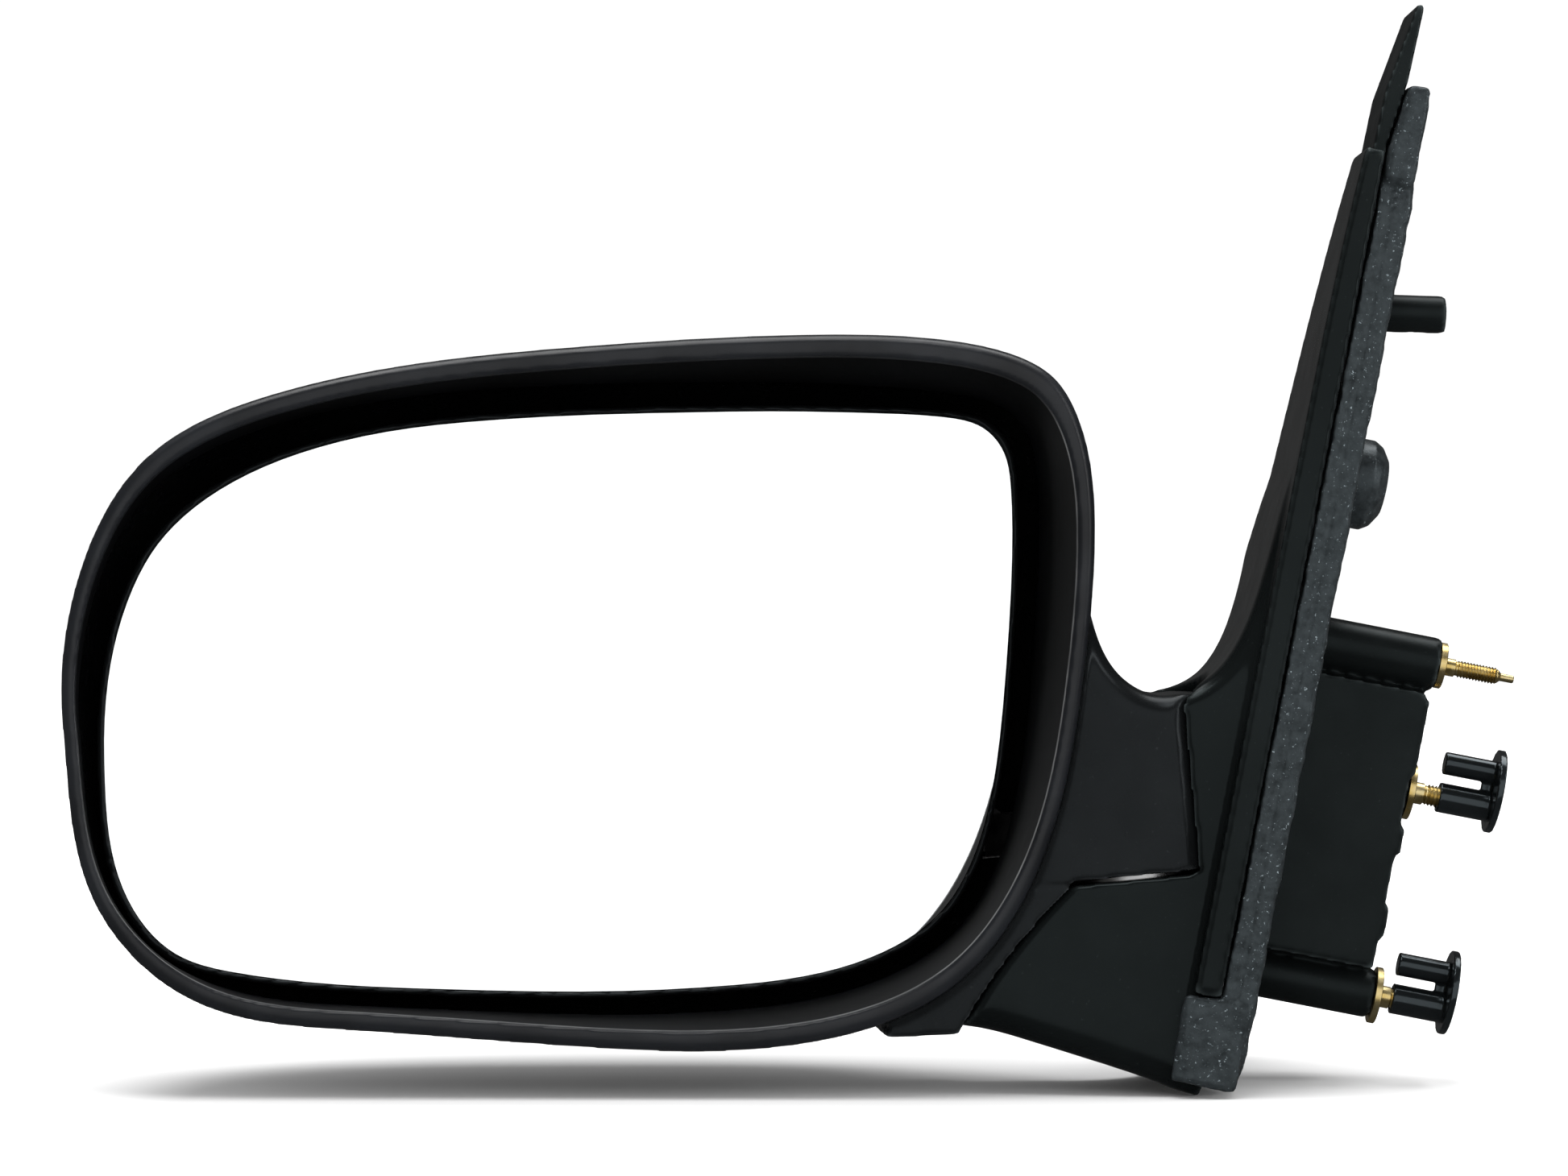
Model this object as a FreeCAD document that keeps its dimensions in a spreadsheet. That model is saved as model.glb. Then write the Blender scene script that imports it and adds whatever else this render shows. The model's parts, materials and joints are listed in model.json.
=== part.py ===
import FreeCAD, Part
import math
import os

import Sketcher
from FreeCAD import Matrix, Placement, Rotation, Vector

# A hand-set, hand-folding door mirror for the left side of a car. Millimetres, +Z up.
# The origin is the seat of the front stud, where the mirror meets the door. +X points
# inboard into the door and +Y towards the front of the car, so the glass faces -Y.

DIMENSIONS = {
    # sail plane and the studs that clamp it to the door
    "sail_lean": 11.0,
    "seat_flange_thick": 1.6,
    "stud_radius": 2.5,
    "stud_thread_radius": 2.24,
    "stud_shoulder": 2.7,
    "stud_length": 12.5,
    "stud_shank": 20.0,
    "stud_shank_radius": 2.0,
    "stud_flange_radius": 6.4,
    "pilot_stud_radius": 2.0,
    "pilot_thread_radius": 1.77,
    "pilot_stud_length": 12.4,
    "pilot_tip_radius": 0.9,
    "pilot_tip_length": 3.6,
    "pilot_flange_radius": 5.2,
    "upper_stud_y": -11.0,
    "upper_stud_up": 29.3,
    "lower_stud_y": -9.0,
    "lower_stud_up": -46.3,
    "upper_boss_radius": 6.0,
    "lower_boss_radius": 5.4,
    # sail skin, frame plate and seal, as depths below the stud seat
    "skin_depth": 44.2,
    "skin_curl": 1.7,
    "skin_rim_depth": 38.2,
    "plate_depth": 41.0,
    "plate_thick": 3.0,
    "seal_depth": 37.9,
    "seal_height": 8.0,
    "seal_width": 7.4,
    "lobe_thick": 3.4,
    "lobe_rise": 20.0,
    "top_lobe_reach": 15.0,
    # sail outline seen square on
    "sail_rear": -43.0,
    "sail_front": 62.0,
    "sail_bottom": -72.0,
    "sail_top": 137.0,
    "sail_tip": 170.0,
    # box rib behind the studs
    "box_rear": -17.0,
    "box_front": 18.0,
    "box_bottom": -40.2,
    "box_top": 22.6,
    "box_wall": 2.5,
    "box_edge_depth": 3.4,
    "lug_radius": 4.2,
    "lug_length": 22.5,
    "lug_collar_radius": 5.8,
    "lug_collar_length": 2.2,
    "lug_tilt": 9.0,
    "lug_up": 102.3,
    "lug_y": -22.0,
    "bumper_radius": 10.2,
    "bumper_up": 66.0,
    "bumper_y": -9.0,
    "cap_disc_radius": 9.5,
    "cap_disc_thick": 1.6,
    "cap_disc_offset": 3.7,
    "cap_barrel_radius": 3.4,
    "cap_bore_radius": 2.55,
    "cap_bore_depth": 9.9,
    "cap_peg_radius": 2.6,
    "cap_peg_offset": 7.9,
    "cap_length": 11.6,
    "front_cap_start": 5.9,
    "lower_cap_start": 2.9,
    # fold pivot: axis position at the joint face, and its outboard lean
    "fold_x": -65.8,
    "fold_y": -22.0,
    "fold_z": -17.5,
    "fold_lean": 5.5,
    "arm_rear": -39.0,
    "arm_front": 0.0,
    "edge_round": 5.0,
    "neck_radius": 20.8,
    "joint_gap": 0.8,
    "post_radius": 5.5,
    "post_height": 34.6,
    "running_gap": 0.05,
    "press_gap": 0.02,
    "detent_radius": 14.5,
    "detent_thick": 2.0,
    "detent_ball_radius": 2.0,
    "detent_circle": 11.8,
    "flange_low": 3.1,
    "flange_top": 6.5,
    "sleeve_radius": 8.6,
    "sleeve_top": 15.0,
    "spring_radius": 8.0,
    "spring_wire": 1.1,
    "spring_top": 30.0,
    "clip_low": 31.8,
    "clip_thick": 1.3,
    # housing
    "head_x": -186.8,
    "head_z": 23.5,
    "head_half_width": 113.0,
    "head_half_height": 78.0,
    "rim_y": -45.0,
    "head_depth": 100.0,
    "shell_wall": 1.9,
    "lip_height": 3.0,
    "lip_width": 3.3,
    "recess_depth": 40.0,
    "recess_gap": 1.9,
    # glass and its ball joint
    "glass_x": -191.5,
    "glass_y": -22.0,
    "glass_z": 21.0,
    "glass_yaw": 7.0,
    "glass_half_width": 101.0,
    "glass_half_height": 64.6,
    "glass_thick": 2.2,
    "pad_thick": 0.8,
    "bead_width": 1.7,
    "bead_proud": 1.0,
    "carrier_thick": 2.5,
    "ball_radius": 7.0,
    "ball_behind_glass": 14.0,
    "cup_thick": 1.8,
    "stem_radius": 4.0,
    "bracket_y": 9.0,
    "bracket_thick": 4.0,
    "screw_radius": 1.6,
    "screw_head_radius": 3.3,
    "screw_head_thick": 2.2,
}

# Outline of the housing rim, as fractions of its half width and half height.
RIM_OUTLINE = [
    (-1.000, -0.090), (-0.968, 0.333), (-0.838, 0.658), (-0.590, 0.837), (-0.031, 0.965),
    (0.415, 1.001), (0.698, 0.988), (0.820, 0.953), (0.912, 0.882), (0.962, 0.760),
    (0.992, 0.449), (0.971, 0.045), (0.880, -0.508), (0.727, -0.814), (0.434, -0.981),
    (0.031, -0.994), (-0.438, -0.945), (-0.753, -0.859), (-0.942, -0.577),
]

# Outline of the mirror glass, as fractions of its half width and half height.
GLASS_OUTLINE = [
    (-1.000, -0.200), (-0.987, 0.128), (-0.950, 0.346), (-0.887, 0.536), (-0.739, 0.738),
    (-0.562, 0.860), (-0.351, 0.936), (-0.176, 0.966), (0.001, 0.984), (0.250, 0.997),
    (0.490, 1.003), (0.700, 0.998), (0.850, 0.985), (0.935, 0.948), (0.980, 0.868),
    (0.997, 0.740), (1.000, 0.529), (0.986, 0.110), (0.964, -0.225), (0.923, -0.502),
    (0.842, -0.728), (0.680, -0.890), (0.357, -0.982), (0.072, -0.997), (-0.256, -0.984),
    (-0.524, -0.960), (-0.715, -0.920), (-0.845, -0.855), (-0.960, -0.630),
]

doc = FreeCAD.newDocument("door_mirror")
sheet = doc.addObject("Spreadsheet::Sheet", "Sheet")
for row, (alias, size) in enumerate(DIMENSIONS.items(), start=1):
    sheet.set("A%d" % row, alias)
    sheet.set("B%d" % row, str(size))
    sheet.setAlias("B%d" % row, alias)
doc.recompute()

X_AXIS = Vector(1, 0, 0)
Y_AXIS = Vector(0, 1, 0)
Z_AXIS = Vector(0, 0, 1)
ORIGIN = Vector(0, 0, 0)
BIG = 400.0

subparts = []


def dim(alias):
    """A driving dimension, read from the sheet."""
    return float(sheet.get(alias))


def value(expression):
    """The number that an expression on the sheet stands for."""
    return float(sheet.evalExpression(str(expression)))


SAIL = Placement(ORIGIN, Rotation(Y_AXIS, dim("sail_lean")))
FOLD = Placement(
    Vector(dim("fold_x"), dim("fold_y"), dim("fold_z")),
    Rotation(Y_AXIS, -dim("fold_lean")),
)
HEAD = Placement(Vector(dim("head_x"), dim("rim_y"), dim("head_z")), Rotation())
glass_turn = Rotation(Z_AXIS, dim("glass_yaw"))
glass_centre = Vector(dim("glass_x"), dim("glass_y"), dim("glass_z"))
BALL = Placement(
    glass_centre + glass_turn.multVec(Vector(0, dim("ball_behind_glass"), 0)),
    glass_turn,
)


# ---------------------------------------------------------------- helpers

def keep(part, label, placement=None):
    """Name a finished sub-part, place it and put it on the list to write."""
    part.Label = label
    if placement is not None:
        part.Placement = placement
    subparts.append(part)
    return part


def shaped(label, shape, placement=None):
    """A sub-part whose shape is set directly."""
    feature = doc.addObject("Part::Feature", label)
    feature.Shape = shape
    return keep(feature, label, placement)


def plane_of(body, role):
    """One of a body's own origin planes."""
    return next(item for item in body.Origin.OriginFeatures if item.Role == role)


def new_sketch(body, name, role, height="0"):
    """A sketch on one of the body's origin planes, lifted by an expression."""
    sketch = body.newObject("Sketcher::SketchObject", name)
    sketch.AttachmentSupport = (plane_of(body, role), [""])
    sketch.MapMode = "FlatFace"
    sketch.AttachmentOffset = Placement(Vector(0, 0, value(height)), Rotation())
    if height != "0":
        sketch.setExpression("AttachmentOffset.Base.z", height)
    return sketch


def bind_point(sketch, geometry, position, expressions):
    """Hold one point of a sketch at coordinates given by two expressions."""
    for kind, axis, expression in zip(("DistanceX", "DistanceY"), (-2, -1), expressions):
        size = value(expression)
        if abs(size) < 1e-9:
            sketch.addConstraint(Sketcher.Constraint("PointOnObject", geometry, position, axis))
            continue
        index = sketch.addConstraint(Sketcher.Constraint(kind, geometry, position, size))
        if "Sheet." in expression:
            sketch.setExpression("Constraints[%d]" % index, expression)


def add_outline(sketch, corners):
    """A closed straight-sided outline whose corners are pairs of expressions."""
    points = [Vector(value(across), value(up), 0) for across, up in corners]
    first = sketch.GeometryCount
    count = len(points)
    for index in range(count):
        sketch.addGeometry(Part.LineSegment(points[index], points[(index + 1) % count]), False)
    for index in range(count):
        following = first + (index + 1) % count
        sketch.addConstraint(Sketcher.Constraint("Coincident", first + index, 2, following, 1))
    for index, corner in enumerate(corners):
        bind_point(sketch, first + index, 1, corner)


def add_circle(sketch, centre, radius):
    """A circle whose centre and radius are expressions."""
    middle = Vector(value(centre[0]), value(centre[1]), 0)
    index = sketch.addGeometry(Part.Circle(middle, Z_AXIS, value(radius)), False)
    bind_point(sketch, index, 3, centre)
    size = sketch.addConstraint(Sketcher.Constraint("Radius", index, value(radius)))
    if "Sheet." in radius:
        sketch.setExpression("Constraints[%d]" % size, radius)


def rectangle(left, bottom, right, top):
    """Corners of an upright rectangle."""
    return [(left, bottom), (right, bottom), (right, top), (left, top)]


def pad(body, sketch, name, length):
    """Pad a sketch along its normal by an expression."""
    feature = body.newObject("PartDesign::Pad", name)
    feature.Profile = sketch
    feature.Length = value(length)
    feature.setExpression("Length", length)
    doc.recompute()
    return feature


def pocket(body, sketch, name, length):
    """Cut a sketch against its normal by an expression; the cut must remove material."""
    before = body.Shape.Volume
    feature = body.newObject("PartDesign::Pocket", name)
    feature.Profile = sketch
    feature.Length = value(length)
    feature.setExpression("Length", length)
    doc.recompute()
    if body.Shape.Volume > before - 1e-6:
        raise ValueError(name + " removes nothing")
    return feature


def turned(label, outline, placement, role="XZ_Plane", axis="V_Axis"):
    """A body turned from a half outline of (radius, height) expressions."""
    body = doc.addObject("PartDesign::Body", label)
    sketch = new_sketch(body, label + "_profile", role)
    add_outline(sketch, outline)
    turn = body.newObject("PartDesign::Revolution", label + "_turn")
    turn.Profile = sketch
    turn.ReferenceAxis = (sketch, [axis])
    turn.Angle = 360
    doc.recompute()
    return keep(body, label, placement)


def spline(points):
    """A smooth closed wire through points."""
    curve = Part.BSplineCurve()
    curve.interpolate(points, PeriodicFlag=True)
    return Part.Wire(curve.toShape())


def open_spline(points):
    """A smooth open edge through points."""
    curve = Part.BSplineCurve()
    curve.interpolate(points)
    return curve.toShape()


def polyline(points):
    """Straight edges through points."""
    return [Part.makeLine(start, end) for start, end in zip(points, points[1:])]


def prism(edges, direction):
    """Extrude a closed flat outline."""
    return Part.Face(Part.Wire(Part.__sortEdges__(edges))).extrude(direction)


def straight_prism(points, direction):
    """Extrude a closed straight-sided outline."""
    return prism(polyline(points + points[:1]), direction)


def wire_through(corners):
    """A closed straight-sided wire through (x, y) corners on the ground plane."""
    points = [Vector(x, y, 0) for x, y in corners]
    return Part.Wire(polyline(points + points[:1]))


def cylinder(radius, low, high, centre=(0.0, 0.0)):
    """An upright cylinder between two heights."""
    return Part.makeCylinder(radius, high - low, Vector(centre[0], centre[1], low))


def placed(shape, placement):
    """A copy of a shape moved by a placement."""
    moved = shape.copy()
    moved.Placement = placement.multiply(moved.Placement)
    return moved


def rear_rounded(view):
    """Cut a rear-view prism off at the arm's rear face and round its curved edges there."""
    rear = dim("arm_rear")
    cut = view.common(row_slab(rear, BIG))
    curved = [
        edge for edge in cut.Edges
        if edge.BoundBox.YMax < rear + 0.01 and edge.Curve.TypeId == "Part::GeomBSplineCurve"
    ]
    return cut.makeFillet(dim("edge_round"), curved)


# ---------------------------------------------------------------- housing outlines

def rim_section(depth, inset=(0.0, 0.0), scale=1.0, shift=Vector(0, 0, 0)):
    """The rim outline at a depth behind the rim plane, pulled in by an inset."""
    half_width = (dim("head_half_width") - inset[0]) * scale
    half_height = (dim("head_half_height") - inset[1]) * scale
    return spline([
        Vector(across * half_width, depth, up * half_height) + shift
        for across, up in RIM_OUTLINE
    ])


def glass_section(depth, spread):
    """The glass outline at a depth, in the glass's own frame, grown by a spread."""
    half_width = dim("glass_half_width") + spread
    half_height = dim("glass_half_height") + spread
    return spline([
        Vector(across * half_width, depth, up * half_height) for across, up in GLASS_OUTLINE
    ])


def dome_scale(part_way):
    """How far the domed front has closed, from 1 at the rim to 0 at the nose."""
    power = 2.7
    return (1.0 - part_way ** power) ** (1.0 / power)


def head_volume(inset, start, depth):
    """The domed volume inside the housing, pulled in by an inset."""
    sections = []
    for part_way in (0.0, 0.2, 0.4, 0.58, 0.74, 0.87, 0.95, 0.99):
        shift = Vector(9.0 * part_way ** 2, 0, -3.0 * part_way ** 2)
        sections.append(rim_section(
            start + (depth - start) * part_way, (inset, inset), dome_scale(part_way), shift))
    return Part.makeLoft(sections, True, False)


# ---------------------------------------------------------------- fold joint volumes

KNUCKLE_PROFILE = [(20.8, 0.0), (28.0, -8.5), (41.5, -26.0), (47.0, -36.0)]


def knuckle_volume(gap, top=0.0):
    """The bell of the lower knuckle, turned about the fold axis and grown by a gap."""
    bell = open_spline([Vector(radius + gap, 0, height) for radius, height in KNUCKLE_PROFILE])
    low = KNUCKLE_PROFILE[-1][1] - 30.0
    first = Vector(KNUCKLE_PROFILE[0][0] + gap, 0, 0)
    last = Vector(KNUCKLE_PROFILE[-1][0] + gap, 0, KNUCKLE_PROFILE[-1][1])
    sides = polyline([
        last, Vector(last.x, 0, low), Vector(0, 0, low), Vector(0, 0, top),
        Vector(first.x, 0, top),
    ])
    if top > 0:
        sides += polyline([Vector(first.x, 0, top), first])
    face = Part.Face(Part.Wire(Part.__sortEdges__([bell] + sides)))
    return placed(face.revolve(ORIGIN, Z_AXIS, 360), FOLD)


def fold_cylinder(radius, low, high):
    """A cylinder on the fold axis, in the mirror's frame."""
    return placed(cylinder(radius, low, high), FOLD)


def row_slab(low_y, high_y):
    """Everything between two distances fore and aft."""
    return Part.makeBox(2 * BIG, high_y - low_y, 2 * BIG, Vector(-BIG, low_y, -BIG))


# ---------------------------------------------------------------- base moulding

def sail_outline(inset):
    """The sail seen square on, as points (fore-aft, up), pulled in by an inset."""
    rear = dim("sail_rear") + inset
    bottom = dim("sail_bottom") + inset
    top = dim("sail_top") - inset
    front = dim("sail_front") - inset
    return [
        (rear, bottom + 4), (rear + 8, bottom), (front - 14, bottom + 10),
        (front, bottom + 22), (front - 4, bottom + 36), (rear + 24 - inset, top),
        (rear, top),
    ]


def sail_points(inset, depth):
    """The sail outline as points in the sail's frame at a depth below the stud seat."""
    return [Vector(-depth, across, up) for across, up in sail_outline(inset)]


def sail_profile(depth, curl):
    """The leaning skin's cross section, fore-aft endless: flat below, curling inboard on top."""
    rim = dim("skin_rim_depth")
    bottom = dim("sail_bottom") - 2
    top = dim("sail_top") + 2
    curl_start = 60
    outer = open_spline([
        Vector(-depth, 0, curl_start), Vector(-depth + 0.12 * curl, 0, curl_start + 30),
        Vector(-depth + 0.42 * curl, 0, curl_start + 58), Vector(-depth + curl, 0, top),
    ])
    edges = [outer] + polyline([
        Vector(-depth + curl, 0, top), Vector(-rim, 0, top), Vector(-rim, 0, bottom),
        Vector(-depth, 0, bottom), Vector(-depth, 0, curl_start),
    ])
    return prism(edges, Vector(0, 2 * BIG, 0)).translated(Vector(0, -BIG, 0))


def sail_volume(inset, depth, curl):
    """The sail's leaning plate from a depth up to the rim, its outline pulled in."""
    outline = straight_prism(sail_points(inset, dim("skin_depth") + 20), Vector(60, 0, 0))
    return sail_profile(depth, curl).common(outline)


def base_arm():
    """Sail skin, arm and lower knuckle, with the seat for the folding neck cut into it."""
    rear = dim("arm_rear")
    front = dim("arm_front")
    notch = open_spline([
        Vector(-70, 0, 23.2), Vector(-57.5, 0, 23.3), Vector(-49.5, 0, 26.6),
        Vector(-43.6, 0, 33.5), Vector(-38.9, 0, 44.5), Vector(-35, 0, 58),
        Vector(-29.5, 0, 76),
    ])
    bottom = open_spline([
        Vector(-116, 0, -51.2), Vector(-98, 0, -50.6), Vector(-88, 0, -53.4),
        Vector(-77, 0, -56.8), Vector(-66, 0, -60.4), Vector(-58, 0, -63.5),
    ])
    sides = polyline([
        Vector(-58, 0, -63.5), Vector(-48, 0, -66), Vector(-30, 0, -62), Vector(-20, 0, 76),
        Vector(-29.5, 0, 76),
    ]) + polyline([Vector(-70, 0, 23.2), Vector(-116, 0, 23.2), Vector(-116, 0, -51.2)])
    rear_view = prism([notch, bottom] + sides, Vector(0, 2 * BIG, 0))
    rear_view = rear_rounded(rear_view.translated(Vector(0, -BIG, 0)))
    skin = -dim("skin_depth")
    flare = open_spline([
        Vector(skin - 26, front, 0), Vector(skin - 12, front + 1, 0),
        Vector(skin - 5, front + 7, 0), Vector(skin - 1.4, front + 20, 0),
        Vector(skin + 0.6, front + 40, 0),
    ])
    plan = [flare] + polyline([
        Vector(skin + 0.6, front + 40, 0), Vector(skin + 20, front + 40, 0),
        Vector(skin + 20, rear, 0), Vector(skin - 80, rear, 0), Vector(skin - 80, front, 0),
        Vector(skin - 26, front, 0),
    ])
    plan_view = prism(plan, Vector(0, 0, 2 * BIG))
    plan_view.translate(Vector(0, 0, -BIG))
    plan_view = placed(plan_view, SAIL)
    beyond_rim = Vector(-BIG - dim("skin_rim_depth"), -BIG, -BIG)
    outboard = placed(Part.makeBox(BIG, 2 * BIG, 2 * BIG, beyond_rim), SAIL)
    block = rear_view.common(plan_view).common(outboard)
    below_seat = placed(Part.makeBox(2 * BIG, 2 * BIG, BIG, Vector(-BIG, -BIG, -BIG)), FOLD)
    knuckle = block.common(below_seat).common(knuckle_volume(0.0))
    inboard = Part.makeBox(BIG, 2 * BIG, 2 * BIG, Vector(dim("fold_x"), -BIG, -BIG))
    behind_sail = placed(straight_prism(sail_points(1.0, BIG), Vector(BIG, 0, 0)), SAIL)
    return block.common(inboard).common(behind_sail).fuse(knuckle)


SCREW_SPOTS = [(40.0, -46.0), (-27.0, 84.0), (-26.0, -52.0)]


def build_base_arm():
    """The base moulding, hollowed for the frame plate and the arm's core."""
    skin = dim("skin_depth")
    plate_low = dim("plate_depth") + 0.05
    hollow = sail_volume(3.0, dim("plate_depth") + 0.5, 0.0)
    posts = [
        sail_cylinder(4.5, spot, skin - 1.0, plate_low) for spot in SCREW_SPOTS
    ]
    core = Part.makeBox(13, 30, 28, Vector(-57, dim("arm_rear") + 4.5, -50))
    tongue_slot = Part.makeBox(5, 24.6, 14.5, Vector(-41.3, -40.3, dim("sail_top") - 10.5))
    corner = seal_lobe(0.1)
    skin_shell = sail_volume(0.0, skin, dim("skin_curl")).fuse(placed(base_arm(), SAIL.inverse()))
    solid = skin_shell.cut([hollow, core, tongue_slot, corner])
    solid = solid.fuse(posts)
    for spot in SCREW_SPOTS:
        solid = solid.cut(sail_cylinder(dim("screw_radius"), spot, skin - 1.0, plate_low - 2))
    solid = placed(solid, SAIL).cut([
        fold_cylinder(dim("neck_radius") + dim("joint_gap"), 0, 120),
        fold_cylinder(dim("post_radius") + dim("press_gap"), -60, 10),
        fold_cylinder(12.0, -60, -20),
    ])
    shaped("base_arm", max(solid.Solids, key=lambda piece: piece.Volume))


def seal_lobe(gap):
    """The block of rubber that takes the place of the skin's lower rear corner."""
    low = dim("skin_depth") + 2.0 + gap
    high = dim("seal_depth") - dim("seal_height") + 1.0
    rear = dim("sail_rear") - 0.2 - gap
    bottom = dim("sail_bottom") + 0.6 - gap
    block = Part.makeBox(
        low - high, dim("lobe_thick") + 2 * gap, dim("lobe_rise") + 2 * gap,
        Vector(-low, rear, bottom))
    return block.makeFillet(1.5, block.Edges)


def top_lobe():
    """The thick lump of rubber above the seal, in front of the frame's tongue."""
    rear = dim("sail_rear") + 1
    top = dim("sail_top")
    corners = [(-37.8, top - 7), (-37.8, top + 1.2), (-36.0, top + 15.5), (-30.5, top + 15.5),
               (-30.5, top - 7)]
    block = straight_prism(
        [Vector(depth, rear, up) for depth, up in corners],
        Vector(0, dim("top_lobe_reach"), 0))
    return block.makeFillet(1.6, block.Edges)


def sail_cylinder(radius, spot, low_depth, high_depth):
    """A cylinder square to the sail at (fore-aft, up), between two depths."""
    base = Vector(-low_depth, spot[0], spot[1])
    return Part.makeCylinder(radius, low_depth - high_depth, base, X_AXIS)


def sail_spot(fore_aft, up, depth=0.0):
    """A placement on the sail whose own Z axis points inboard along a stud."""
    return SAIL.multiply(Placement(Vector(-depth, fore_aft, up), Rotation(Y_AXIS, 90)))


# ---------------------------------------------------------------- door-side parts

def build_frame():
    """The inner carrier: plate, tongue, box rib, stud bosses, lug and bumper post."""
    body = doc.addObject("PartDesign::Body", "base_frame")
    plate = new_sketch(body, "plate_outline", "YZ_Plane", "-Sheet.plate_depth")
    add_outline(plate, [
        ("Sheet.sail_rear + 3.4", "Sheet.sail_bottom + 7.4"),
        ("Sheet.sail_rear + 11.4", "Sheet.sail_bottom + 3.4"),
        ("Sheet.sail_front - 17.4", "Sheet.sail_bottom + 13.4"),
        ("Sheet.sail_front - 3.4", "Sheet.sail_bottom + 25.4"),
        ("Sheet.sail_front - 7.8", "Sheet.sail_bottom + 38.4"),
        ("Sheet.sail_rear + 22", "Sheet.sail_top - 8"),
        ("Sheet.sail_rear + 3.4", "Sheet.sail_top - 8"),
    ])
    pad(body, plate, "plate", "Sheet.plate_thick")
    tongue = new_sketch(body, "tongue_outline", "XZ_Plane", "16")
    add_outline(tongue, [
        ("-Sheet.plate_depth", "Sheet.sail_top - 10"),
        ("-Sheet.plate_depth + Sheet.plate_thick", "Sheet.sail_top - 10"),
        ("-Sheet.plate_depth + Sheet.plate_thick", "Sheet.sail_top + 1"),
        ("-Sheet.plate_depth + 5", "Sheet.sail_top + 16"),
        ("-Sheet.plate_depth + 5.4", "Sheet.sail_tip"),
        ("-Sheet.plate_depth + 3.8", "Sheet.sail_tip"),
        ("-Sheet.plate_depth + 0.4", "Sheet.sail_top + 13"),
    ])
    pad(body, tongue, "tongue", "24")
    depth = "-Sheet.plate_depth + Sheet.plate_thick - 0.5"
    rise = "Sheet.plate_depth - Sheet.plate_thick + 0.5"
    walls = new_sketch(body, "box_walls", "YZ_Plane", depth)
    wall = "Sheet.box_wall"
    add_outline(walls, rectangle(
        "Sheet.box_rear", "Sheet.box_bottom", "Sheet.box_front", "Sheet.box_top"))
    add_outline(walls, rectangle(
        "Sheet.box_rear + " + wall, "Sheet.box_bottom + " + wall,
        "Sheet.box_front - " + wall, "Sheet.box_top - " + wall))
    pad(body, walls, "box", rise + " - Sheet.box_edge_depth")
    bosses = new_sketch(body, "boss_circles", "YZ_Plane", depth)
    add_circle(bosses, ("Sheet.upper_stud_y", "Sheet.upper_stud_up"), "Sheet.upper_boss_radius")
    add_circle(bosses, ("0", "0"), "Sheet.upper_boss_radius")
    add_circle(bosses, ("Sheet.lower_stud_y", "Sheet.lower_stud_up"), "Sheet.lower_boss_radius")
    pad(body, bosses, "bosses", rise + " - Sheet.seat_flange_thick")
    tabs = new_sketch(body, "edge_tabs", "YZ_Plane", "-Sheet.box_edge_depth - 1")
    for low, high in ((4, 21), (-14, -8), (-33, -26)):
        add_outline(tabs, rectangle(
            "Sheet.box_rear + 0.3", str(low), "Sheet.box_rear + 2.2", str(high)))
    pad(body, tabs, "tabs", "2.2")
    post = new_sketch(body, "bumper_post", "YZ_Plane", depth)
    add_circle(post, ("Sheet.bumper_y", "Sheet.bumper_up"), "7")
    pad(body, post, "bumper_post_pad", "10")
    lug_base = Placement(
        Vector(value(depth), dim("lug_y"), dim("lug_up")), Rotation(Y_AXIS, 90 - dim("lug_tilt")))
    for name in ("lug", "lug_collar"):
        rod = body.newObject("PartDesign::AdditiveCylinder", name)
        rod.setExpression("Radius", "Sheet." + name + "_radius")
        rod.setExpression("Height", "Sheet." + name + "_length")
        rod.Placement = lug_base
        doc.recompute()
    slot = body.newObject("PartDesign::SubtractiveBox", "lug_slot")
    slot.Length = dim("lug_radius") + 1
    slot.Width = 1.4
    slot.Height = 9
    slot.Placement = Placement(
        lug_base.multVec(Vector(0, -0.7, dim("lug_length") - 8)), lug_base.Rotation)
    doc.recompute()
    shanks = new_sketch(body, "shank_holes", "YZ_Plane", "-Sheet.seat_flange_thick")
    for spot in (("Sheet.upper_stud_y", "Sheet.upper_stud_up"), ("0", "0"),
                 ("Sheet.lower_stud_y", "Sheet.lower_stud_up")):
        add_circle(shanks, spot, "Sheet.stud_shank_radius + Sheet.press_gap")
    pocket(body, shanks, "shank_pockets", "Sheet.stud_shank + 1")
    stem = new_sketch(body, "bumper_hole", "YZ_Plane", depth + " + 10")
    add_circle(stem, ("Sheet.bumper_y", "Sheet.bumper_up"), "3.5")
    pocket(body, stem, "bumper_pocket", "8")
    screws = new_sketch(body, "screw_holes", "YZ_Plane", depth + " + 1")
    for fore_aft, up in SCREW_SPOTS:
        add_circle(screws, (str(fore_aft), str(up)), "Sheet.screw_radius + Sheet.press_gap")
    pocket(body, screws, "screw_pockets", "8")
    keep(body, "base_frame", SAIL)


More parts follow.
